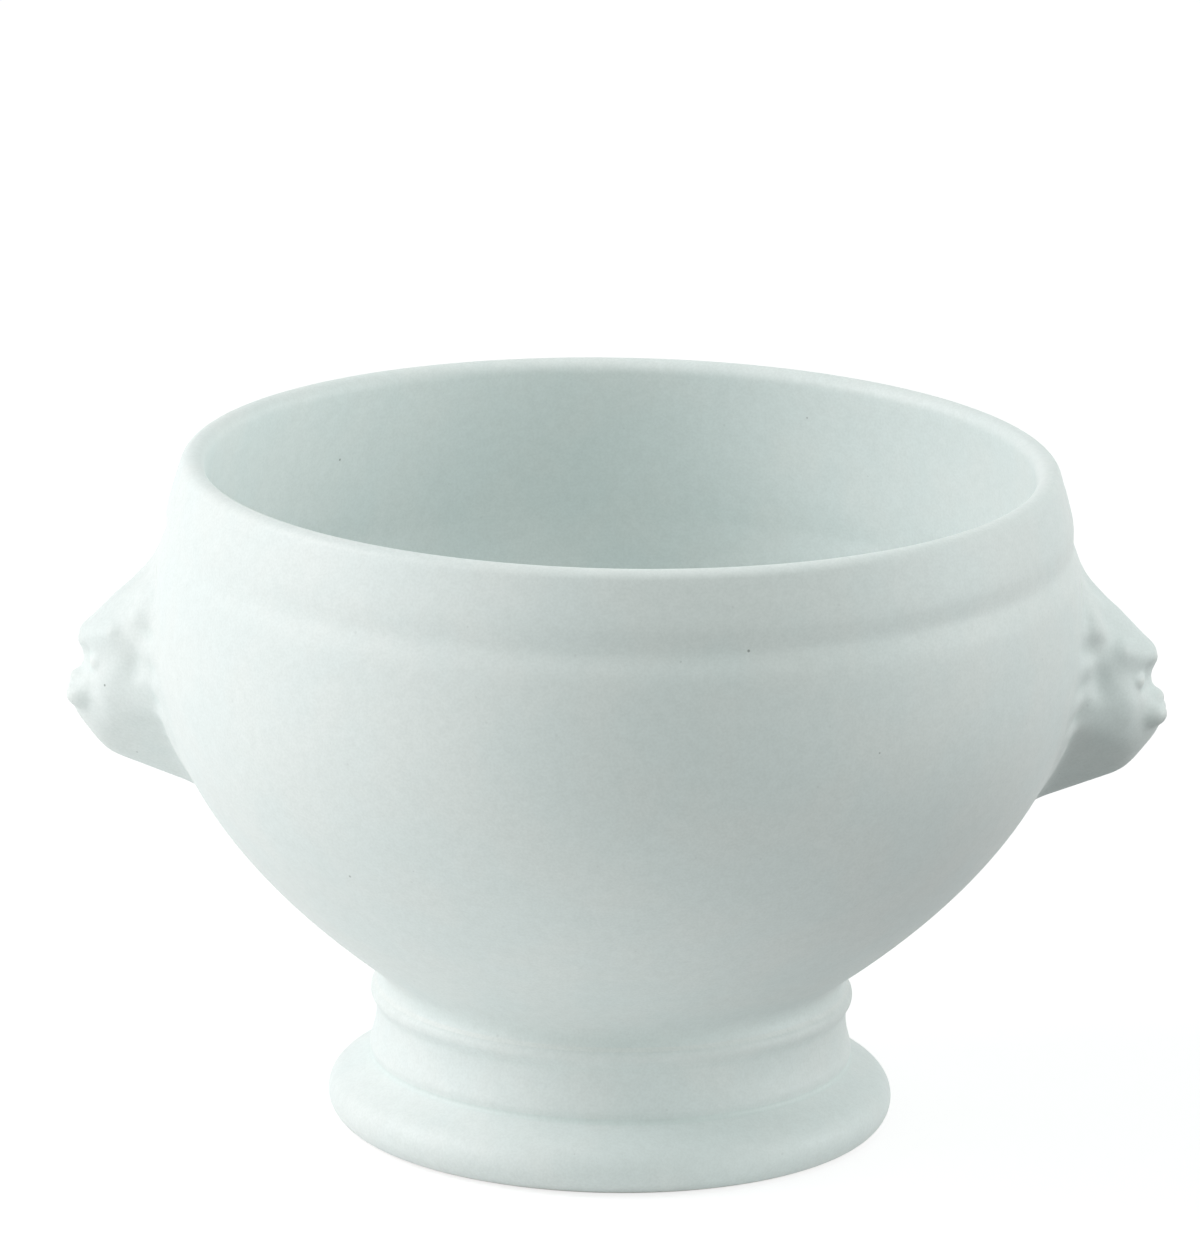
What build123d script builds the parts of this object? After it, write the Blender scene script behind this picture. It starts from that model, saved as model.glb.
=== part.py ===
from build123d import *
import math
import os

# French onion soup crock: a white porcelain bowl on a hollow pedestal foot, a lion head on each side.
# The pieces are cast apart and luted together with slip, the liquid clay of the same body.
# Origin at the middle of the foot ring on the table, +Z up, lion heads on +X and -X. Millimetres.

# Slip joints
slip = 0.5                  # thickness of the slip between two luted pieces

# Pedestal foot
foot_height = 18.6          # table to the top of the bead
foot_radius = 37.5          # outside of the round flange
flange_round = 3.4          # radius of the flange's rounded edge
flange_turn = 59.0          # angle at which the round edge gives way to the flange's slope
flange_height = 10.0        # table to the crease between flange and neck
neck_flare = 0.7            # how far the neck stands out at that crease
neck_hollow = 0.35          # depth of the neck's concave curve
neck_ledge = 3.25           # from the bowl's joint circle out to the neck
bead_height = 2.1           # height of the half-round bead at the top of the neck
bead_bulge = 0.65           # how far the bead stands out from the neck
ring_width = 4.0            # flat ring that stands on the table
bore_height = 10.0          # table to the level where the flared underside meets the straight bore
seat_width = 2.4            # width of the seat under the bowl
fillet_reach = 2.4          # how far the slip runs out on the foot beyond the bowl's joint circle

# Bowl
joint_radius = 28.05        # circle where the bowl's outside meets the foot
bowl_dip = 8.7              # how far the bowl's bottom hangs into the foot
bowl_height = 70.9          # joint circle to the top of the lip
rim_radius = 58.0           # outside of the lip
belly_swell = 3.5           # how much wider than the lip the belly is
belly_drop = 22.8           # top of the lip down to the widest level
wall = 4.2                  # thickness of the bowl's wall and bottom
shoulder_swell = 2.2        # how much wider than the lip the bowl is just under the groove
groove_drop = 10.4          # top of the lip down to the middle of the groove
groove_width = 4.4
groove_depth = 0.8
band_swell = 1.8            # how much wider than the lip the rim band is just over the groove
band_crown = 0.45           # how far the rim band bulges
lip = 3.4                   # thickness of the round lip
ledge = 0.6                 # soft ledge where the inside opens out below the rim
ledge_rise = 3.0            # height of that ledge over the widest level

# Lion head: reaches are from the belly's widest radius outwards, rises from the level of the muzzle
muzzle_reach = 10.6
crown_reach = -3.1          # the crown starts inside the wall
crown_rise = 20.4
forehead_reach = 3.4
forehead_rise = 14.3
brow_reach = 8.0
brow_rise = 8.9
eye_reach = 8.3             # root of the nose, between the eyes
eye_rise = 3.9
lip_reach = 7.9
lip_rise = -5.7
chin_reach = 4.6
chin_rise = -9.0
throat_slope = 22.0         # degrees that the underside falls towards the wall
eye_spread = 4.4            # middle of the face to an eye
cheek_spread = 7.2          # middle of the face to a cheek
face_edge = 9.0             # middle of the face to where its side meets the mane
face_root = 11.5            # middle of the face to where its side is all inside the wall
root_depth = 20.0           # how far the drawn head runs into the wall before it is cut to seat there

# Face features, each a rounded lump: radius, and the reach, spread and rise of its middle
ear_radius = 2.6
ear_reach = 2.4
ear_spread = 8.2
ear_rise = 11.4
eyeball_radius = 1.7
eyeball_reach = 5.3
lip_pad_radius = 3.2
lip_pad_reach = 7.0
lip_pad_spread = 2.9
lip_pad_rise = -1.6
nose_radius = 2.2
nose_reach = 8.6
nose_rise = 0.6
beard_radius = 3.0
beard_reach = 4.2
beard_rise = -6.6

# Mane: a ring of rounded locks around the face
lock_count = 14
lock_radius = 3.6
lock_sink = 2.1             # how far the middle of a lock lies inside the wall
mane_spread = 10.6          # half width of the ring of locks
mane_height = 12.3          # half height of the ring
mane_rise = 3.0             # middle of the ring over the level of the muzzle
groove_gap = 0.5            # from the groove's lower edge down to the mane

# Worked out from the sizes above
joint_height = foot_height + slip
rim_height = joint_height + bowl_height
belly_height = rim_height - belly_drop
groove_height = rim_height - groove_drop
belly_radius = rim_radius + belly_swell
band_radius = rim_radius + band_swell
neck_radius = joint_radius + neck_ledge
bore_radius = joint_radius - seat_width
joint_slope = 2 * math.atan2(bowl_dip, joint_radius)
mane_top = groove_height - groove_width / 2 - groove_gap
muzzle_height = mane_top - lock_radius - mane_height - mane_rise


# The bowl's outside, drawn as radius and height: round bottom, flaring wall, belly, groove and rim band
bottom = (0, joint_height - bowl_dip)
joint = (joint_radius, joint_height)
belly = (belly_radius, belly_height)
wall_corner = (belly_radius, joint_height + (belly_radius - joint_radius) * math.tan(joint_slope))
shoulder = (rim_radius + shoulder_swell, groove_height - groove_width / 2)
groove = (band_radius - groove_depth, groove_height)
band_foot = (band_radius, groove_height + groove_width / 2)
lip_outside = (rim_radius, rim_height - lip / 2)
band_middle = (
    (band_foot[0] + lip_outside[0]) / 2 + band_crown,
    (band_foot[1] + lip_outside[1]) / 2,
)
with BuildLine() as bowl_outside:
    TangentArc(bottom, joint, tangent=(1, 0))
    Bezier(joint, wall_corner, belly)
    TangentArc(belly, shoulder, tangent=(0, 1))
    ThreePointArc(shoulder, groove, band_foot)
    ThreePointArc(band_foot, band_middle, lip_outside)

# The bowl's inside runs beside it, one wall thickness in, and opens out under a soft ledge
lip_inside = (rim_radius - lip, rim_height - lip / 2)
inner_belly = (belly_radius - wall, belly_height)
inner_ledge = (belly_radius - wall - ledge, belly_height + ledge_rise)
inner_joint = (joint_radius - wall * math.sin(joint_slope), joint_height + wall * math.cos(joint_slope))
inner_corner = (inner_belly[0], inner_joint[1] + (inner_belly[0] - inner_joint[0]) * math.tan(joint_slope))
inner_bottom = (0, joint_height - bowl_dip + wall)
with BuildPart() as bowl:
    with BuildSketch(Plane.XZ):
        with BuildLine():
            add(bowl_outside.line)
            ThreePointArc(lip_outside, (rim_radius - lip / 2, rim_height), lip_inside)
            Line(lip_inside, inner_ledge)
            Line(inner_ledge, inner_belly)
            Bezier(inner_belly, inner_corner, inner_joint)
            TangentArc(inner_bottom, inner_joint, tangent=(1, 0))
            Line(inner_bottom, bottom)
        make_face()
    revolve(axis=Axis.Z)

# The bowl's outside as a full body: whatever is luted to the bowl is cut to seat on this
with BuildPart() as bowl_body:
    with BuildSketch(Plane.XZ):
        with BuildLine():
            add(bowl_outside.line)
            Polyline(lip_outside, (0, lip_outside[1]), bottom)
        make_face()
    revolve(axis=Axis.Z)


# Pedestal foot: standing ring, round flange, hollow neck and bead, with a dished seat for the bowl
flange_centre = (foot_radius - flange_round, flange_round)
ring_inside = (flange_centre[0] - ring_width, 0)
flange_crease = (neck_radius + neck_flare, flange_height)
bead_foot = (neck_radius, foot_height - bead_height)
neck_middle = (
    (flange_crease[0] + bead_foot[0]) / 2 - neck_hollow,
    (flange_crease[1] + bead_foot[1]) / 2,
)
bead_top = (neck_radius, foot_height)
with BuildPart() as pedestal_foot:
    with BuildSketch(Plane.XZ):
        with BuildLine():
            Line(ring_inside, (flange_centre[0], 0))
            flange_edge = CenterArc(flange_centre, flange_round, -90, 90 + flange_turn)
            Line(flange_edge @ 1, flange_crease)
            ThreePointArc(flange_crease, neck_middle, bead_foot)
            ThreePointArc(bead_foot, (neck_radius + bead_bulge, foot_height - bead_height / 2), bead_top)
            Polyline(bead_top, (bore_radius, foot_height), (bore_radius, bore_height), ring_inside)
        make_face()
    revolve(axis=Axis.Z)
    with Locations((0, 0, -slip)):
        add(bowl_body.part, mode=Mode.SUBTRACT)

# Slip between bowl and foot, which fills the corner above the bead and is wiped flush there
bottom_round = joint_radius / math.sin(joint_slope)
seat_low = bottom[1] + bottom_round - math.sqrt(bottom_round**2 - bore_radius**2) - slip
with BuildPart() as foot_slip_joint:
    with BuildSketch(Plane.XZ):
        with BuildLine():
            Polyline(
                (bore_radius, seat_low),
                (joint_radius + fillet_reach, seat_low),
                (joint_radius + fillet_reach, belly_height),
                (bore_radius, belly_height),
                close=True,
            )
        make_face()
    revolve(axis=Axis.Z)
    add(bowl_body.part, mode=Mode.SUBTRACT)
    add(pedestal_foot.part, mode=Mode.SUBTRACT)


# Lion head, drawn as side profiles from the middle of the face out to where its side is inside the wall.
# A station gives its spread, how far the crown drops, how far each level sets back, and the chin's lift.
face_profile = (
    (forehead_reach, forehead_rise),
    (brow_reach, brow_rise),
    (eye_reach, eye_rise),
    (muzzle_reach, 0),
    (lip_reach, lip_rise),
    (chin_reach, chin_rise),
)
stations = (
    (0, 0, (0, 0, 0, 0, 0, 0), 0),
    (eye_spread, 0.3, (0.4, 0.9, 2.6, 1.5, 1.3, 1.2), 0.5),
    (cheek_spread, 1.4, (1.3, 3.0, 4.2, 5.0, 4.4, 3.4), 2.8),
    (face_edge, 2.8, (3.2, 6.4, 7.2, 9.0, 7.8, 6.0), 5.5),
    (face_root, 6.0, (6.6, 10.6, 11.2, 13.6, 11.8, 9.0), 8.5),
)
throat_fall = math.tan(math.radians(throat_slope))
root_x = belly_radius - root_depth
profiles = []
for spread, crown_drop, setbacks, chin_lift in stations:
    crown_z = muzzle_height + crown_rise - crown_drop
    outline = [(belly_radius + crown_reach, crown_z)]
    for (reach, rise), setback in zip(face_profile, setbacks):
        drop = crown_drop * max(rise, 0) / crown_rise
        lift = chin_lift * min(rise, 0) / chin_rise
        outline.append((belly_radius + reach - setback, muzzle_height + rise - drop + lift))
    chin_x, chin_z = outline[-1]
    throat = (root_x, chin_z - (chin_x - root_x) * throat_fall)
    profiles.append((spread, outline, throat, (root_x, crown_z)))
near_side = [(-spread, *drawn) for spread, *drawn in reversed(profiles[1:])]

def wall_radius(height):
    """Radius of the bowl's outside at a height on its flaring wall, from the wall's own curve."""
    squared = belly[1] - 2 * wall_corner[1] + joint[1]
    linear = wall_corner[1] - joint[1]
    along = (math.sqrt(linear**2 + squared * (min(height, belly[1]) - joint[1])) - linear) / squared
    return belly_radius - (belly_radius - joint_radius) * (1 - along) ** 2


# Rounded forms of the head, each a radius and the place of its middle: mane locks, then the face features
round_forms = []
for lock in range(lock_count):
    turn = 2 * math.pi * (lock + 0.5) / lock_count
    lock_y = mane_spread * math.cos(turn)
    lock_z = muzzle_height + mane_rise + mane_height * math.sin(turn)
    lock_x = math.sqrt(wall_radius(lock_z) ** 2 - lock_y**2) - lock_sink
    round_forms.append((lock_radius, (lock_x, lock_y, lock_z)))
for radius, reach, spread, rise in (
    (ear_radius, ear_reach, ear_spread, ear_rise),
    (eyeball_radius, eyeball_reach, eye_spread, eye_rise),
    (lip_pad_radius, lip_pad_reach, lip_pad_spread, lip_pad_rise),
    (nose_radius, nose_reach, 0, nose_rise),
    (beard_radius, beard_reach, 0, beard_rise),
):
    for side in sorted({-spread, spread}):
        round_forms.append((radius, (belly_radius + reach, side, muzzle_height + rise)))

with BuildPart() as lion_head_right:
    for spread, outline, throat, crown_root in near_side + profiles:
        with BuildSketch(Plane.XZ.offset(-spread)):
            with BuildLine():
                Spline(*outline)
                Polyline(outline[-1], throat, crown_root, outline[0])
            make_face()
    loft()
    for radius, place in round_forms:
        with Locations(place):
            Sphere(radius)
    with Locations((slip, 0, 0)):
        add(bowl_body.part, mode=Mode.SUBTRACT)

# Pad of slip between the head and the wall, an even oval layer that shows a little around the mane
with BuildPart() as right_head_slip_joint:
    with BuildSketch(Plane.YZ.offset(root_x)):
        with Locations((0, muzzle_height + mane_rise)):
            Ellipse(mane_spread + lock_radius, mane_height + lock_radius)
    extrude(amount=2 * root_depth)
    with Locations((slip, 0, 0)):
        add(bowl_body.part, mode=Mode.INTERSECT)
    add(bowl_body.part, mode=Mode.SUBTRACT)

with BuildPart() as lion_head_left:
    mirror(lion_head_right.part, about=Plane.YZ)

with BuildPart() as left_head_slip_joint:
    mirror(right_head_slip_joint.part, about=Plane.YZ)


# Name each piece and write it
pieces = {
    "bowl": bowl,
    "pedestal_foot": pedestal_foot,
    "foot_slip_joint": foot_slip_joint,
    "lion_head_left": lion_head_left,
    "left_head_slip_joint": left_head_slip_joint,
    "lion_head_right": lion_head_right,
    "right_head_slip_joint": right_head_slip_joint,
}
os.makedirs("parts", exist_ok=True)
for name, piece in pieces.items():
    piece.part.label = name
    export_step(piece.part, f"parts/{name}.step")
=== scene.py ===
import math

import bmesh
import bpy
import numpy as np
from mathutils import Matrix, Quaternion, Vector


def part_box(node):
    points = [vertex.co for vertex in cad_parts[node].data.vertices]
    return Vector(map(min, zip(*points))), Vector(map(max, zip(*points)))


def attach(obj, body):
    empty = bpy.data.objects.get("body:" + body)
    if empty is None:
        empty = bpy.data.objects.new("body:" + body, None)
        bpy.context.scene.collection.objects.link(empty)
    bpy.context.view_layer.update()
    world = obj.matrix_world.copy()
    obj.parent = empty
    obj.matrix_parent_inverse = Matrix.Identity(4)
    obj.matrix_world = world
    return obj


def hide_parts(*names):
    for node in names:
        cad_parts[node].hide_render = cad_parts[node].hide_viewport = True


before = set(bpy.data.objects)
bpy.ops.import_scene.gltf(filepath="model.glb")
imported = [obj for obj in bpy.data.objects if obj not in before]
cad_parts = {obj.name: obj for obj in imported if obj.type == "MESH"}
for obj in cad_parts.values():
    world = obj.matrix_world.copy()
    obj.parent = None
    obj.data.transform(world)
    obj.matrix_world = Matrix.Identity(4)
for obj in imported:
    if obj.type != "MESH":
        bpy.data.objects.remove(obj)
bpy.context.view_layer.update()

# Bowl
# The bowl is slip-cast in white porcelain: a round bottom, a flaring wall, and a rim band over a shallow
# groove. It is turned true and sponged, dipped in a satin glaze and fired, so every edge on it is soft.
mm = 0.001
bowl_low, bowl_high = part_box("bowl")
belly_radius = bowl_high.x
rim_height = bowl_high.z
rim_radius = belly_radius - 3.5 * mm
belly_height = rim_height - 22.8 * mm
joint_radius = 28.05 * mm
joint_height = bowl_low.z + 8.7 * mm
wall = 4.2 * mm
lip = 3.4 * mm
groove_height = rim_height - 10.4 * mm
groove_width = 2.0 * mm
groove_depth = 0.6 * mm
ledge_width = 0.6 * mm
ledge_rise = 3 * mm
glaze_softness = 0.45 * mm
porcelain_white = (0.86, 0.90, 0.89)


class Wire:
    """A node's output. Sums on wires add Math nodes to the tree, and node() adds any other kind."""

    def __init__(self, tree, socket=None):
        self.tree = tree
        self.socket = socket

    def node(self, kind, settings=(), values=(), output=0):
        """Add a node: its settings first, then a value or a wire for each socket."""
        made = self.tree.nodes.new(kind)
        for name, value in dict(settings).items():
            setattr(made, name, value)
        for name, value in dict(values).items():
            if isinstance(value, Wire):
                self.tree.links.new(value.socket, made.inputs[name])
            else:
                made.inputs[name].default_value = value
        return Wire(self.tree, made.outputs[output] if made.outputs else None)

    def beside(self, output):
        """Another output of the same node."""
        return Wire(self.tree, self.socket.node.outputs[output])

    def math(self, operation, *values):
        return self.node("ShaderNodeMath", {"operation": operation}, enumerate(values))

    def __add__(self, other):
        return self.math("ADD", self, other)

    def __sub__(self, other):
        return self.math("SUBTRACT", self, other)

    def __rsub__(self, other):
        return self.math("SUBTRACT", other, self)

    def __mul__(self, other):
        return self.math("MULTIPLY", self, other)

    __radd__ = __add__
    __rmul__ = __mul__

    def step(self, low, high):
        """0 below low, 1 above high, and a smooth rise between them."""
        values = {"Value": self, "From Min": low, "From Max": high}
        return self.node("ShaderNodeMapRange", {"interpolation_type": "SMOOTHSTEP"}, values)

    def mix(self, first, second):
        """The first colour where this mask is 0, the second where it is 1."""
        return self.node("ShaderNodeMix", {"data_type": "RGBA"}, {0: self, 6: first, 7: second}, output=2)

    def noise(self, size, detail=2.0):
        """Noise on this vector, from 0 to 1, with features of about that size."""
        values = {"Vector": self, "Scale": 1 / size, "Detail": detail}
        return self.node("ShaderNodeTexNoise", {}, values)


def tinted(colour, red, green, blue):
    """A colour with its channels scaled, for a socket."""
    return (red * colour[0], green * colour[1], blue * colour[2], 1)


def glaze(name, colour, bare_below=None):
    """Satin porcelain glaze, pooled in hollows and thin on edges, with mottle, a fine tooth and specks."""
    cool = tinted(colour, 0.975, 0.995, 1.0)
    pooled = tinted(colour, 0.93, 0.97, 0.965)
    thin = tinted(colour, 1.02, 1.01, 1.005)
    dull = tinted(colour, 0.70, 0.72, 0.71)
    iron = (0.20, 0.22, 0.21, 1)
    bare_clay = (0.80, 0.78, 0.73, 1)
    grain_size, grain_height = 0.34 * mm, 0.010 * mm
    mottle_size, mottle_height = 1.6 * mm, 0.012 * mm
    ripple_size, ripple_height = 9 * mm, 0.030 * mm
    ring_size, ring_height = 2.4 * mm, 0.004 * mm
    cloud_size = 12 * mm
    speck_spacing = 4.2 * mm
    speck_radius = 0.25 * mm
    bare_edge = 0.4 * mm

    material = bpy.data.materials.new(name)
    material.use_nodes = True
    material.node_tree.nodes.clear()
    start = Wire(material.node_tree)
    place = start.node("ShaderNodeTexCoord", output="Object")
    hollow = start.node("ShaderNodeAttribute", {"attribute_name": "hollow"}, output="Fac")
    height = start.node("ShaderNodeSeparateXYZ", {}, {0: place}, output="Z")
    grain = place.noise(grain_size)
    mottle = place.noise(mottle_size, detail=4.0)
    ripple = place.noise(ripple_size)
    cloud = place.noise(cloud_size)
    rings = start.node("ShaderNodeCombineXYZ", {}, {"Z": height}).noise(ring_size)
    cells = {"Vector": place, "Scale": 1 / speck_spacing}
    nearest = start.node("ShaderNodeTexVoronoi", {}, cells, output="Distance")
    chance = start.node("ShaderNodeSeparateColor", {}, {0: nearest.beside("Color")})
    speck = 1 - nearest.step(0.4 * speck_radius / speck_spacing, speck_radius / speck_spacing)
    speck = speck * (0.10 + 0.6 * chance.step(0.88, 0.94))

    tint = cloud.step(0.35, 0.65).mix(tinted(colour, 1, 1, 1), cool)
    tint = hollow.step(0.03, 0.5).mix(tint, pooled)
    tint = (0 - hollow).step(0.15, 0.9).mix(tint, thin)
    tint = (0.11 * mottle.step(0.25, 0.75) + 0.17 * grain.step(0.3, 0.7)).mix(tint, dull)
    tint = speck.mix(tint, iron)
    roughness = 0.46 + 0.10 * grain + 0.05 * ripple
    relief = grain_height * grain + mottle_height * mottle + ripple_height * ripple + ring_height * rings
    if bare_below is not None:
        bare = 1 - height.step(bare_below, bare_below + bare_edge)
        tint = bare.mix(tint, bare_clay)
        roughness = roughness + 0.3 * bare
    bump = start.node("ShaderNodeBump", {}, {"Height": relief, "Distance": 1.0})
    surface = {"Base Color": tint, "Roughness": roughness, "Normal": bump, "IOR": 1.5}
    shader = start.node("ShaderNodeBsdfPrincipled", {}, surface)
    start.node("ShaderNodeOutputMaterial", {}, {"Surface": shader})
    return material


def wheel_group():
    """Geometry Nodes that turn an outline, radius along X and height along Z, about the vertical axis."""
    group = bpy.data.node_groups.new("turned_on_the_wheel", "GeometryNodeTree")
    inputs = {
        "Outline": "Geometry",
        "Segments": "Int",
        "Wheel Radius": "Float",
        "Weld": "Float",
        "Finish": "Material",
    }
    sockets = {}
    for name, kind in inputs.items():
        sockets[name] = group.interface.new_socket(name, in_out="INPUT", socket_type="NodeSocket" + kind)
    group.interface.new_socket("Shell", in_out="OUTPUT", socket_type="NodeSocketGeometry")

    start = Wire(group)
    outline = start.node("NodeGroupInput", output="Outline")
    wheel_radius = outline.beside("Wheel Radius")
    weld = outline.beside("Weld")
    finish = outline.beside("Finish")
    drawn = start.node("GeometryNodeMeshToCurve", {}, {0: outline})
    radius = start.node("ShaderNodeSeparateXYZ", {}, {0: start.node("GeometryNodeInputPosition")})
    across, along = radius - wheel_radius, 0 - radius.beside("Z")
    turned = start.node("ShaderNodeCombineXYZ", {}, {"X": across, "Y": along})
    section = start.node("GeometryNodeSetPosition", {}, {"Geometry": drawn, "Position": turned})
    circle = {"Resolution": outline.beside("Segments"), "Radius": wheel_radius}
    wheel = start.node("GeometryNodeCurvePrimitiveCircle", {}, circle)
    shell = start.node("GeometryNodeCurveToMesh", {}, {"Curve": wheel, "Profile Curve": section})
    shell = start.node("GeometryNodeMergeByDistance", {}, {"Geometry": shell, "Distance": weld})
    shell = start.node("GeometryNodeSetShadeSmooth", {}, {0: shell})
    shell = start.node("GeometryNodeRealizeInstances", {}, {"Geometry": shell})
    shell = start.node("GeometryNodeSetMaterial", {}, {"Geometry": shell, "Material": finish})
    start.node("NodeGroupOutput", {}, {"Shell": shell})
    return group, sockets


def tangent_arc(start, heading, end, count=40):
    """Points of the arc that leaves start along heading and stops at end."""
    start = np.array(start)
    chord = np.array(end) - start
    left = np.array([-heading[1], heading[0]])
    centre = start + left * (chord @ chord) / (2 * chord @ left)
    turn = 2 * math.atan2(heading[0] * chord[1] - heading[1] * chord[0], chord @ np.array(heading))
    spoke = start - centre
    angle = np.linspace(0, turn, count)
    radius = spoke[0] * np.cos(angle) - spoke[1] * np.sin(angle)
    height = spoke[0] * np.sin(angle) + spoke[1] * np.cos(angle)
    return list(centre + np.column_stack([radius, height]))


def bulged(start, end, bulge, count=40):
    """Points of the arc from start to end that bulges that far to the right of the way there."""
    chord = np.array(end) - np.array(start)
    length = math.hypot(*chord)
    lean = -2 * math.atan2(2 * bulge, length)
    across = math.cos(lean) * chord[0] - math.sin(lean) * chord[1]
    along = math.sin(lean) * chord[0] + math.cos(lean) * chord[1]
    return tangent_arc(start, (across / length, along / length), end, count)


def grooved(outline):
    """An outline with the bowl's shallow groove pressed into it."""
    pressed = []
    for radius, height in outline:
        across = (height - groove_height) / groove_width
        pressed.append((radius - groove_depth * math.exp(-across**2), height))
    return pressed


def swept(start, corner, end, count=80):
    """Points of the curve from start to end whose ends point at corner."""
    t = np.linspace(0, 1, count)[:, None]
    return list((1 - t) ** 2 * np.array(start) + 2 * t * (1 - t) * np.array(corner) + t**2 * np.array(end))


def soften(outline, softness, closed=False):
    """Round an outline's corners as glaze does, and keep only the points that its bends need."""
    fine = 0.1 * mm
    longest = 1.5 * mm
    most_turn = math.radians(4)
    outline = np.array(outline + outline[:1] if closed else outline)
    along = np.concatenate([[0], np.cumsum(np.linalg.norm(np.diff(outline, axis=0), axis=1))])
    even = np.linspace(0, along[-1], int(along[-1] / fine) + 1)
    points = np.column_stack([np.interp(even, along, outline[:, axis]) for axis in (0, 1)])

    # An open outline starts and ends on the axis, and goes on there as its own mirror image
    reach = int(4 * softness / fine)
    if closed:
        before, after = points[-reach - 1:-1], points[1:reach + 1]
    else:
        before, after = points[reach:0:-1] * (-1, 1), points[-2:-reach - 2:-1] * (-1, 1)
    padded = np.vstack([before, points, after])
    weights = np.exp(-0.5 * (np.arange(-reach, reach + 1) * fine / softness) ** 2)
    soft = [np.convolve(padded[:, axis], weights / weights.sum(), "valid") for axis in (0, 1)]
    soft = np.column_stack(soft)
    heading = np.unwrap(np.arctan2(np.gradient(soft[:, 1]), np.gradient(soft[:, 0])))
    kept = [0]
    for index in range(1, len(soft) - 1):
        far = (index - kept[-1]) * fine > longest
        if far or abs(heading[index] - heading[kept[-1]]) > most_turn:
            kept.append(index)
    return soft[kept] if closed else soft[kept + [len(soft) - 1]]


def mark_hollows(mesh):
    """Store how hollow the surface is at each point, as 1 over its radius in mm: below 0 on edges."""
    smoothing_rounds = 4
    count = len(mesh.vertices)
    places = np.empty(count * 3)
    normals = np.empty(count * 3)
    ends = np.empty(len(mesh.edges) * 2, int)
    mesh.vertices.foreach_get("co", places)
    mesh.vertices.foreach_get("normal", normals)
    mesh.edges.foreach_get("vertices", ends)
    places, normals = places.reshape(-1, 3) / mm, normals.reshape(-1, 3)
    first, second = ends.reshape(-1, 2).T
    span = places[second] - places[first]
    length_squared = np.maximum((span**2).sum(1), 1e-6)
    neighbours = np.bincount(first, minlength=count) + np.bincount(second, minlength=count)
    neighbours = np.maximum(neighbours, 1)
    bend = np.bincount(first, (span * normals[first]).sum(1) / length_squared, count)
    bend -= np.bincount(second, (span * normals[second]).sum(1) / length_squared, count)
    hollow = 2 * bend / neighbours
    for _ in range(smoothing_rounds):
        around = np.bincount(first, hollow[second], count) + np.bincount(second, hollow[first], count)
        hollow = (hollow + around / neighbours) / 2
    mesh.attributes.new("hollow", "FLOAT", "POINT").data.foreach_set("value", hollow.astype(np.float32))


def make_piece(name, mesh):
    """Put a closed mesh in the scene with its faces outward and its hollows marked."""
    shell = bmesh.new()
    shell.from_mesh(mesh)
    bmesh.ops.recalc_face_normals(shell, faces=shell.faces)
    shell.to_mesh(mesh)
    shell.free()
    mark_hollows(mesh)
    mesh.name = name
    piece = bpy.data.objects.new(name, mesh)
    bpy.context.scene.collection.objects.link(piece)
    return piece


wheel, wheel_sockets = wheel_group()


def turn_on_wheel(name, outline, finish, closed=False):
    """Turn an outline into a named shell with its glaze, as a plain mesh."""
    settings = {"Segments": 300, "Wheel Radius": 50 * mm, "Weld": 0.001 * mm, "Finish": finish}
    count = len(outline)
    edges = [(index, index + 1) for index in range(count - 1)]
    if closed:
        edges.append((count - 1, 0))
    drawing = bpy.data.meshes.new(name + "_outline")
    drawing.from_pydata([(radius, 0, height) for radius, height in outline], edges, [])
    blank = bpy.data.objects.new(name + "_outline", drawing)
    bpy.context.scene.collection.objects.link(blank)
    turning = blank.modifiers.new("turning", "NODES")
    turning.node_group = wheel
    for socket, value in settings.items():
        turning[wheel_sockets[socket].identifier] = value
    shell = bpy.data.meshes.new_from_object(blank.evaluated_get(bpy.context.evaluated_depsgraph_get()))
    blank.modifiers.remove(turning)
    bpy.data.objects.remove(blank)
    return make_piece(name, shell)


bottom = (0, bowl_low.z)
joint = (joint_radius, joint_height)
joint_slope = 2 * math.atan2(joint_height - bowl_low.z, joint_radius)
belly = (belly_radius, belly_height)
wall_corner = (belly_radius, joint_height + (belly_radius - joint_radius) * math.tan(joint_slope))
lip_outside = (rim_radius, rim_height - lip / 2)
lip_inside = (rim_radius - lip, rim_height - lip / 2)
inner_belly = (belly_radius - wall, belly_height)
inner_ledge = (inner_belly[0] - ledge_width, belly_height + ledge_rise)
inner_joint = (joint_radius - wall * math.sin(joint_slope), joint_height + wall * math.cos(joint_slope))
inner_corner = (inner_belly[0], inner_joint[1] + (inner_belly[0] - inner_joint[0]) * math.tan(joint_slope))
inner_bottom = (0, bowl_low.z + wall)
bowl_outside = [
    *tangent_arc(bottom, (1, 0), joint),
    *swept(joint, wall_corner, belly)[1:],
    *grooved(tangent_arc(belly, (0, 1), lip_outside, count=80))[1:],
]
bowl_inside = [
    *bulged(lip_outside, lip_inside, lip / 2)[1:],
    inner_ledge,
    *swept(inner_belly, inner_corner, inner_joint),
    *reversed(tangent_arc(inner_bottom, (1, 0), inner_joint)[:-1]),
]
bowl_outline = soften(bowl_outside + bowl_inside, glaze_softness)
bowl = turn_on_wheel("porcelain_bowl", bowl_outline, glaze("satin_glaze_bowl", porcelain_white))
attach(bowl, "root")
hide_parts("bowl")


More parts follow.
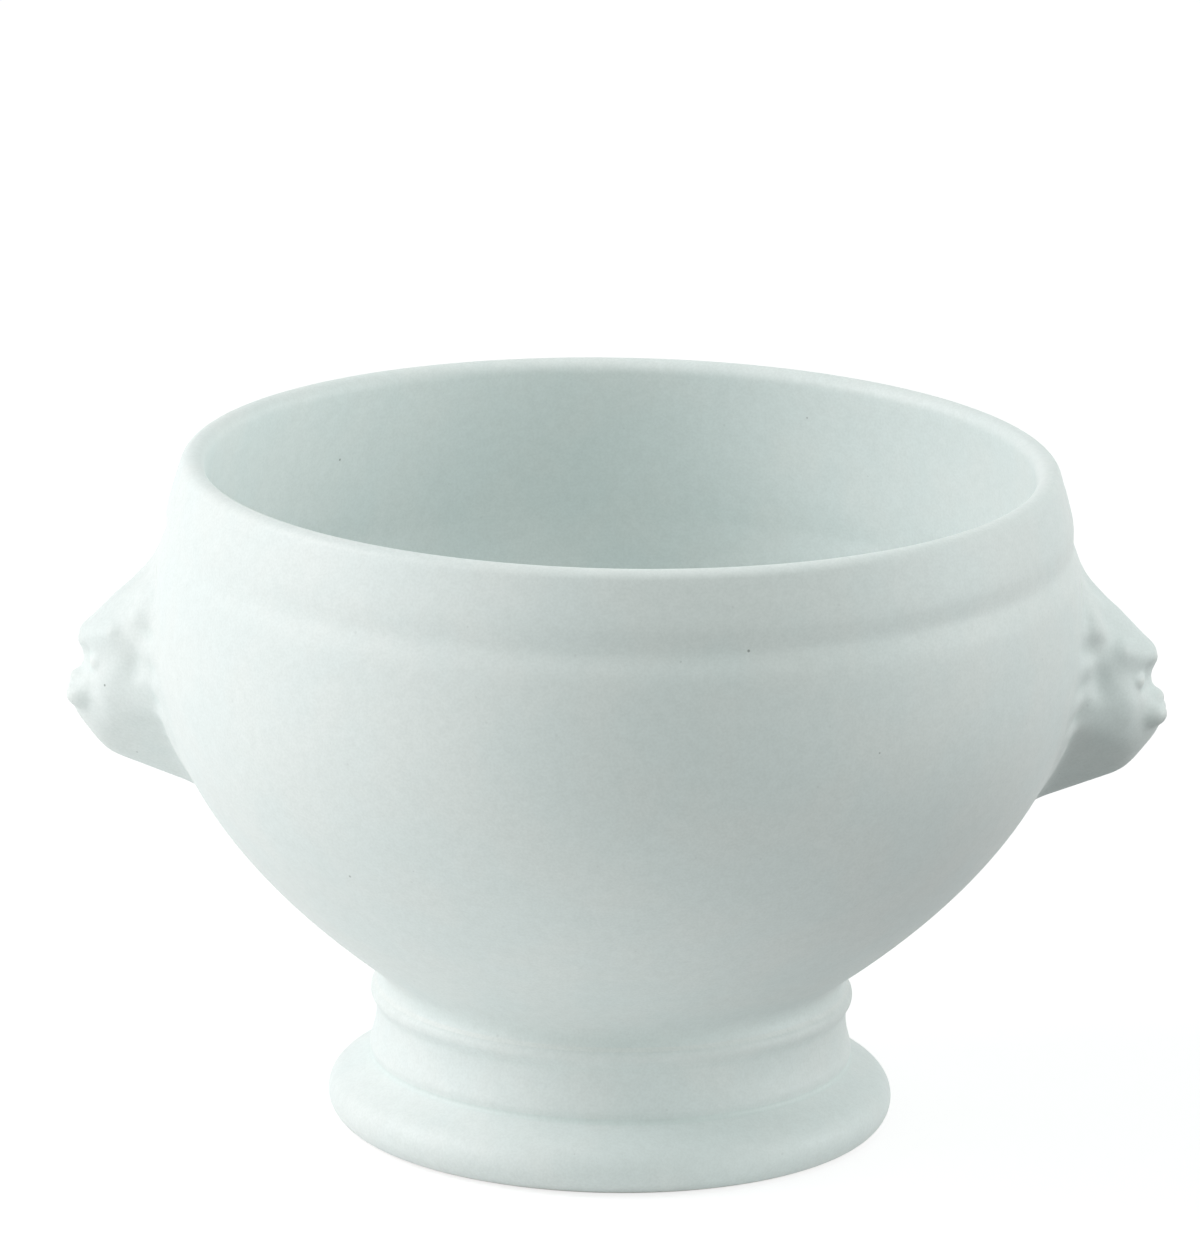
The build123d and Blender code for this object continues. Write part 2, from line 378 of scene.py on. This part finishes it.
# Pedestal foot
# A hollow ring of the same porcelain, cast apart: a round flange on the table, a short neck and a bead.
# Its top is dished to seat the bowl, and the ring it stands on is wiped free of glaze before firing.
_, foot_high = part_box("pedestal_foot")
foot_height = foot_high.z
foot_radius = foot_high.x
flange_round = 3.4 * mm
flange_turn = math.radians(59)
ring_width = 4 * mm
neck_radius = joint_radius + 3.25 * mm
neck_hollow = 0.45 * mm
bead_height = 2.4 * mm
bead_bulge = 0.85 * mm
bore_radius = joint_radius - 2.4 * mm
bore_height = 10 * mm
bare_height = 0.3 * mm
foot_softness = 0.6 * mm
flange_middle = foot_radius - flange_round
flange_end = (
    flange_middle + flange_round * math.cos(flange_turn),
    flange_round + flange_round * math.sin(flange_turn),
)
flange_crease = (neck_radius + 0.2 * mm, 8.8 * mm)
neck_roll = (neck_radius + 0.9 * mm, 9.9 * mm)
bead_foot = (neck_radius, foot_height - bead_height)
bead_top = (neck_radius, foot_height)
seat_gap = joint_height - foot_height
bottom_round = joint_radius / math.sin(joint_slope)


def under_bowl(radius):
    """Height of the bowl's round bottom at a radius."""
    return bowl_low.z + bottom_round - math.sqrt(bottom_round**2 - radius**2)


foot_outline = [
    (flange_middle - ring_width, 0),
    *tangent_arc((flange_middle, 0), (1, 0), flange_end),
    flange_crease,
    *bulged(neck_roll, bead_foot, -neck_hollow),
    *bulged(bead_foot, bead_top, bead_bulge)[1:],
    (joint_radius, under_bowl(joint_radius) - seat_gap),
    (bore_radius, under_bowl(bore_radius) - seat_gap),
    (bore_radius, bore_height),
]
foot_soft = soften(foot_outline, foot_softness, closed=True)
foot_glaze = glaze("satin_glaze_foot", porcelain_white, bare_below=bare_height)
foot = turn_on_wheel("porcelain_foot", foot_soft, foot_glaze, closed=True)
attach(foot, "root")
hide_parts("pedestal_foot")


# Foot slip joint
# The bowl is luted to the foot with slip, liquid clay of the same body, before the glaze.
# What squeezes out fills the corner over the bead and is wiped flush with a finger.
slip_softness = 0.08 * mm
seat_edge = (neck_radius - 0.3 * mm, foot_height - 0.1 * mm)
fillet_foot = (neck_radius + 0.39 * mm, foot_height - 0.45 * mm)
fillet_corner = (neck_radius - 1.56 * mm, joint_height + 1.13 * mm)
fillet_top = (neck_radius + 1.13 * mm, joint_height + 3.15 * mm)
slip_outline = [
    (bore_radius, under_bowl(bore_radius) - seat_gap),
    (joint_radius, under_bowl(joint_radius) - seat_gap),
    seat_edge,
    *swept(fillet_foot, fillet_corner, fillet_top, count=24),
    (joint_radius, under_bowl(joint_radius)),
    (bore_radius, under_bowl(bore_radius)),
]
slip_soft = soften(slip_outline, slip_softness, closed=True)
slip_glaze = glaze("satin_glaze_slip", porcelain_white)
foot_slip = turn_on_wheel("foot_slip_fillet", slip_soft, slip_glaze, closed=True)
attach(foot_slip, "root")
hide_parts("foot_slip_joint")


# Lion heads
# Two lion masks of the same porcelain stand out as grips, each pressed in a mould, with a low mane.
# The glaze fills the carving, so brow, eyes, nose and jaw are soft. The two are mirror images.
_, head_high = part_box("lion_head_right")
muzzle_height = head_high.z - 19.0 * mm
sides = {"left": -1, "right": 1}
wall_outline = bowl_outline[:bowl_outline[:, 1].argmax()]
wall_radii, wall_heights = wall_outline.T
wall_lean = 1 / np.hypot(1, np.gradient(wall_radii, wall_heights))

# Sizes on a head are in millimetres, from the middle of its muzzle
head_middle = 2.6
head_half_width = 14.4
head_half_height = 17.3
head_scale = 14
edge_depth = 1.0


def smooth_rise(low, high, value):
    """0 at low, 1 at high, smooth between, for low above high as well."""
    share = np.clip((value - low) / (high - low), 0, 1)
    return share * share * (3 - 2 * share)


def ball(place, middle, radii):
    """Distance outside an ellipsoid, about right near its surface."""
    offset = (place - np.float32(middle)) / np.float32(radii)
    near = np.linalg.norm(offset, axis=1)
    return near * (near - 1) / np.maximum(np.linalg.norm(offset / np.float32(radii), axis=1), 1e-6)


def rod(place, start, end, radius):
    """Distance outside a round rod."""
    start, along = np.float32(start), np.float32(end) - np.float32(start)
    share = np.clip((place - start) @ along / (along @ along), 0, 1)
    return np.linalg.norm(place - start - share[:, None] * along, axis=1) - radius


def join(first, second, soft):
    """Two forms as one, with a fillet of that softness."""
    overlap = np.maximum(soft - np.abs(first - second), 0) / soft
    return np.minimum(first, second) - overlap**3 * soft / 6


def shared(first, second, soft):
    """What two forms have in common, with an edge of that softness."""
    return -join(-first, -second, soft)


def carve(form, tool, soft):
    """A form with a tool's shape taken out of it, its edge that soft."""
    return shared(form, -tool, soft)


def over_wall(place):
    """Distance out from the bowl's wall. A place is reach, spread and rise from the muzzle's middle."""
    height = place[:, 2] * mm + muzzle_height
    radius = np.hypot(place[:, 0] * mm + belly_radius, place[:, 1] * mm)
    lean = np.interp(height, wall_heights, wall_lean)
    return ((radius - np.interp(height, wall_heights, wall_radii)) * lean / mm).astype(np.float32)


def lion(place):
    """Distance outside the lion's head and the wall that it grows from."""
    reach, rise = place[:, 0], place[:, 2]
    spread = np.abs(place[:, 1])
    place = np.column_stack([reach, spread, rise])

    # Face, a front profile that sinks to the wall on both sides
    face_middle, face_half_width, face_half_height = 3, 11.4, 16.8
    face_sunk = 0.8
    profile = [
        (10.8, -15), (10.8, -0.3), (10.5, 1.6), (9.75, 6.4), (9.1, 8.2),
        (8.25, 9.5), (6.45, 11.5), (0.1, 17.5), (-3.5, 20),
    ]
    blur = (-1.6, -0.8, 0, 0.8, 1.6)
    profile_reach, profile_rise = zip(*profile)
    front = sum(np.interp(rise + shift, profile_rise, profile_reach) for shift in blur) / len(blur)
    depth = np.maximum(front - reach + over_wall(place), 0) + face_sunk
    width = face_half_width * np.sqrt(np.maximum(1 - ((rise - face_middle) / face_half_height) ** 2, 0.1))
    face = 0.75 * (reach - front + depth * (spread / width) ** 1.5)

    # Jaw and lips, planes that cut the face under to a rounded keel from mouth to throat
    keel_round = 1.6
    keel = np.hypot(spread, keel_round) - keel_round
    jaw = 0.246 * reach + 0.82 * keel - 0.66 * rise - 7.0
    lips = 0.71 * reach + 0.55 * keel - 0.554 * rise - 8.8
    face = shared(face, shared(jaw, lips, soft=1.4), soft=1.9)

    # Brow, cheek, muzzle pads and nose, with the hollow of eyes and bridge between them
    brow = rod(place, (8.0, 1.3, 7.2), (4.6, 5.0, 8.8), 1.0)
    cheek = ball(place, (3.0, 5.2, 1.6), (3.4, 2.0, 3.2))
    bridge = rod(place, (11.4, 0, 4.2), (9.6, 3.8, 4.5), 2.1)
    muzzle = ball(place, (8.4, 1.8, -0.4), (2.7, 2.1, 1.8))
    nose = ball(place, (9.1, 0, 1.6), (1.5, 2.0, 1.0))
    face = join(face, brow, soft=3.6)
    face = join(face, cheek, soft=3.0)
    face = carve(face, bridge, soft=2.0)
    face = join(face, muzzle, soft=1.4)
    face = join(face, nose, soft=1.0)

    # Eyes, the hollows behind the brows, the mouth, the furrow between the brows, and low round ears
    eye = ball(place, (6.8, 3.5, 4.6), (1.1, 1.4, 1.0))
    temple = ball(place, (2.6, 9.7, 6.0), (1.6, 1.5, 2.6))
    mouth = rod(place, (11.0, 0.2, -2.8), (9.6, 2.8, -3.0), 0.25)
    furrow = rod(place, (10.2, 0, 8.2), (6.2, 0, 13.0), 0.4)
    ear = ball(place, (0.2, 6.6, 13.0), (1.5, 1.7, 2.0))
    face = join(face, eye, soft=1.2)
    face = carve(face, temple, soft=2.6)
    face = carve(face, mouth, soft=1.2)
    face = carve(face, furrow, soft=1.6)
    face = join(face, ear, soft=4.0)

    # Mane, a low collar that swells out of the wall, combed into strands all round the face
    mane_half_width, mane_half_height = 11.0, 13.2
    mane_swell, mane_sunk = 0.53, 0.03
    strands, strand_sweep, strand_depth = 16, 5, 0.18
    ring = np.hypot(spread / mane_half_width, (rise - head_middle) / mane_half_height)
    angle = np.arctan2(rise - head_middle, spread)
    collar = smooth_rise(1.34, 1.0, ring) * (1 - 0.6 * smooth_rise(1.0, 0.80, ring))
    collar *= 0.35 + 0.65 * smooth_rise(-11, -3, rise)
    mane = over_wall(place) + mane_sunk - mane_swell * collar
    combed = smooth_rise(0.82, 1.0, ring) * smooth_rise(1.34, 1.05, ring) * smooth_rise(-5, 1, rise)
    comb = strand_depth * combed * np.cos(strands * angle + strand_sweep * ring)
    return join(face, mane, soft=2.2) - comb


def head_oval(place):
    """Distance outside the oval that the head covers on the wall, about right near its edge."""
    spread, rise = place[:, 1], place[:, 2] - head_middle
    return head_scale * (np.hypot(spread / head_half_width, rise / head_half_height) - 1)


def head_form(place):
    """The pressed head, its edge sunk a little into the wall all round."""
    return np.maximum(np.maximum(lion(place), -edge_depth - over_wall(place)), head_oval(place))


def skin(form, low, high, step=0.25):
    """Mesh of a form's surface between two corners, with a point in each cell that it crosses."""
    batches = 16
    settling_rounds = 3
    settling_share = 0.7
    least_slope = 0.1
    nudge = 0.02
    axes = [np.arange(near, far + step, step, dtype=np.float32) for near, far in zip(low, high)]
    shape = tuple(len(axis) for axis in axes)
    grid = np.stack(np.meshgrid(*axes, indexing="ij"), -1).reshape(-1, 3)
    value = np.concatenate([form(part) for part in np.array_split(grid, batches)]).reshape(shape)
    inside = value < 0
    cells = tuple(count - 1 for count in shape)
    total = np.zeros(cells + (3,), np.float32)
    hits = np.zeros(cells, np.int32)

    # Each grid edge that the surface crosses gives a face between the four cells round it
    crossings = []
    for axis in range(3):
        near = [slice(None)] * 3
        far = [slice(None)] * 3
        near[axis], far[axis] = slice(None, -1), slice(1, None)
        crossed = np.argwhere(inside[tuple(near)] != inside[tuple(far)])
        ahead = crossed.copy()
        ahead[:, axis] += 1
        first, second = value[tuple(crossed.T)], value[tuple(ahead.T)]
        spot = crossed.astype(np.float32)
        spot[:, axis] += first / (first - second)
        corners = []
        for u, v in ((-1, -1), (0, -1), (0, 0), (-1, 0)):
            cell = crossed.copy()
            cell[:, (axis + 1) % 3] += u
            cell[:, (axis + 2) % 3] += v
            np.add.at(total, tuple(cell.T), spot)
            np.add.at(hits, tuple(cell.T), 1)
            corners.append(cell)
        crossings.append((np.stack(corners, 1), first < 0))
    used = hits > 0
    number = np.full(cells, -1)
    number[used] = np.arange(used.sum())
    points = np.float32(low) + total[used] / hits[used][:, None] * step
    faces = []
    for corners, outward in crossings:
        quads = number[tuple(corners.reshape(-1, 3).T)].reshape(-1, 4)
        faces.append(np.where(outward[:, None], quads, quads[:, ::-1]))

    # The points settle on the surface along its slope
    for _ in range(settling_rounds):
        here = form(points)
        slope = np.stack([form(points + np.float32(way)) - here for way in np.eye(3) * nudge], 1) / nudge
        share = settling_share * (here / np.maximum((slope**2).sum(1), least_slope))
        points = points - share[:, None] * slope
    return points, np.vstack(faces)


def lay_on_bowl(name, points, faces, side, finish):
    """Place a skin from the head's own frame on one side of the bowl: 1 for +X, -1 for -X."""
    placed = (points * mm + (belly_radius, 0, muzzle_height)) * (side, 1, 1)
    mesh = bpy.data.meshes.new(name)
    mesh.from_pydata(placed, [], faces if side > 0 else faces[:, ::-1])
    mesh.shade_smooth()
    mesh.materials.append(finish)
    return make_piece(name, mesh)


head_skin = skin(head_form, low=(-13, -15, -15.5), high=(12, 15, 20.5))
head_glaze = glaze("satin_glaze_lion", porcelain_white)
for side_name, side in sides.items():
    head = lay_on_bowl("lion_mask_" + side_name, *head_skin, side, head_glaze)
    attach(head, "root")
    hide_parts("lion_head_" + side_name)


# Head slip joints
# Each head is luted with slip to a patch of the wall that is scored for it. What squeezes out is wiped
# away, so the slip lies hidden, a thin curved pad between head and wall.
pad_top = 0.98
pad_bottom = 1.9


def head_slip_form(place):
    """The pad of slip in the scored wall, as wide as the head over it."""
    level = over_wall(place)
    return np.maximum(np.maximum(level + pad_top, -pad_bottom - level), head_oval(place))


head_slip_skin = skin(head_slip_form, low=(-14, -15, -15.5), high=(3, 15, 20.5))
for side_name, side in sides.items():
    head_slip = lay_on_bowl("head_slip_" + side_name, *head_slip_skin, side, slip_glaze)
    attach(head_slip, "root")
    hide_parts(side_name + "_head_slip_joint")


# Studio
# A plain white table, which keeps the crock's faint shadow, large soft lamps, and the photograph's view.
def seen_directly(start):
    """1 for rays from the camera, or by way of a reflection or glass."""
    camera_ray = start.node("ShaderNodeLightPath", output="Is Camera Ray")
    seen = camera_ray + camera_ray.beside("Is Glossy Ray") + camera_ray.beside("Is Transmission Ray")
    return seen.math("MINIMUM", seen, 1.0)


def table_finish():
    """White table, lifted to white where it is seen. Its right side has painted shade: it bounces less
    light.
    """
    bounce = (0.92, 0.92, 0.92, 1)
    # Painted shade: a dark bounce colour on the table's right side, in place of the crock's shadow there
    painted_shade_bounce = (0.18, 0.18, 0.18, 1)
    shade_start, shade_end = 15 * mm, 60 * mm
    seen_colour = (0.35, 0.35, 0.35, 1)
    lift = 0.78
    material = bpy.data.materials.new("white_table")
    material.use_nodes = True
    material.node_tree.nodes.clear()
    start = Wire(material.node_tree)
    place = start.node("ShaderNodeTexCoord", output="Object")
    # Mask of the painted shade, rising from 15 mm to 60 mm towards the right
    right = start.node("ShaderNodeSeparateXYZ", {}, {0: place}).step(shade_start, shade_end)
    plain = start.node("ShaderNodeBsdfDiffuse", {}, {"Color": right.mix(bounce, painted_shade_bounce)})
    shown = start.node("ShaderNodeBsdfDiffuse", {}, {"Color": seen_colour})
    glow = start.node("ShaderNodeEmission", {}, {"Strength": lift})
    lifted = start.node("ShaderNodeAddShader", {}, {0: shown, 1: glow})
    top = start.node("ShaderNodeMixShader", {}, {0: seen_directly(start), 1: plain, 2: lifted})
    clear = start.node("ShaderNodeBsdfTransparent")
    below = start.node("ShaderNodeNewGeometry", output="Backfacing")
    shader = start.node("ShaderNodeMixShader", {}, {0: below, 1: top, 2: clear})
    start.node("ShaderNodeOutputMaterial", {}, {"Surface": shader})
    return material


half_table = 6.0
table_corners = [(-half_table, -half_table), (half_table, -half_table)]
table_corners += [(half_table, half_table), (-half_table, half_table)]
table_mesh = bpy.data.meshes.new("table")
table_mesh.from_pydata([(x, y, 0) for x, y in table_corners], [], [(0, 1, 2, 3)])
table_mesh.materials.append(table_finish())
table = bpy.data.objects.new("table", table_mesh)
bpy.context.scene.collection.objects.link(table)

room_fill = (0.385, 0.435, 0.415, 1)
room_seen = (1, 1, 1, 1)
room = bpy.data.worlds.new("white_room")
room.use_nodes = True
room.node_tree.nodes.clear()
bpy.context.scene.world = room
room_start = Wire(room.node_tree)
room_light = seen_directly(room_start).mix(room_fill, room_seen)
room_shader = room_start.node("ShaderNodeBackground", {}, {"Color": room_light})
room_start.node("ShaderNodeOutputWorld", {}, {"Surface": room_shader})

crock_middle = Vector((0, 0, 45 * mm))
lamp_distance = 1.3
lamp_width = 0.7
warm_white = (1.0, 0.955, 0.97)
plain_white = (1.0, 1.0, 1.0)
for lamp_name, turn, rise, power, colour in (
    ("left_window", 90, 35, 7.1, warm_white),
    ("left_low", 75, 20, 2.8, warm_white),
    ("right_low", 270, 12, 5.6, plain_white),
    ("right_high", 270, 58, 2.5, plain_white),
):
    turn, rise = math.radians(turn), math.radians(rise)
    way = Vector((-math.sin(turn) * math.cos(rise), -math.cos(turn) * math.cos(rise), math.sin(rise)))
    lamp_data = bpy.data.lights.new(lamp_name, "AREA")
    lamp_data.shape = "DISK"
    lamp_data.size = lamp_width
    lamp_data.energy = power
    lamp_data.color = colour
    lamp = bpy.data.objects.new(lamp_name, lamp_data)
    lamp.location = crock_middle + lamp_distance * way
    lamp.rotation_euler = (-way).to_track_quat("-Z", "Y").to_euler()
    bpy.context.scene.collection.objects.link(lamp)

camera_distance = 1.5
camera_rise = math.radians(15.87)
camera_roll = math.radians(1.02)
camera_over = Vector((0, 0, 45.83 * mm))
camera_aim = Vector((-2.4 * mm, 5.7 * mm, 66.0 * mm))
camera_way = Vector((0, -math.cos(camera_rise), math.sin(camera_rise)))
camera_data = bpy.data.cameras.new("photo_view")
camera_data.sensor_width = 36
camera_data.lens = 327
camera = bpy.data.objects.new("photo_view", camera_data)
camera.location = camera_over + camera_distance * camera_way
camera.rotation_mode = "QUATERNION"
camera_turn = (camera_aim - camera.location).to_track_quat("-Z", "Y")
camera.rotation_quaternion = camera_turn @ Quaternion((0, 0, 1), camera_roll)
bpy.context.scene.collection.objects.link(camera)
bpy.context.scene.camera = camera
bpy.context.scene.view_settings.view_transform = "Standard"
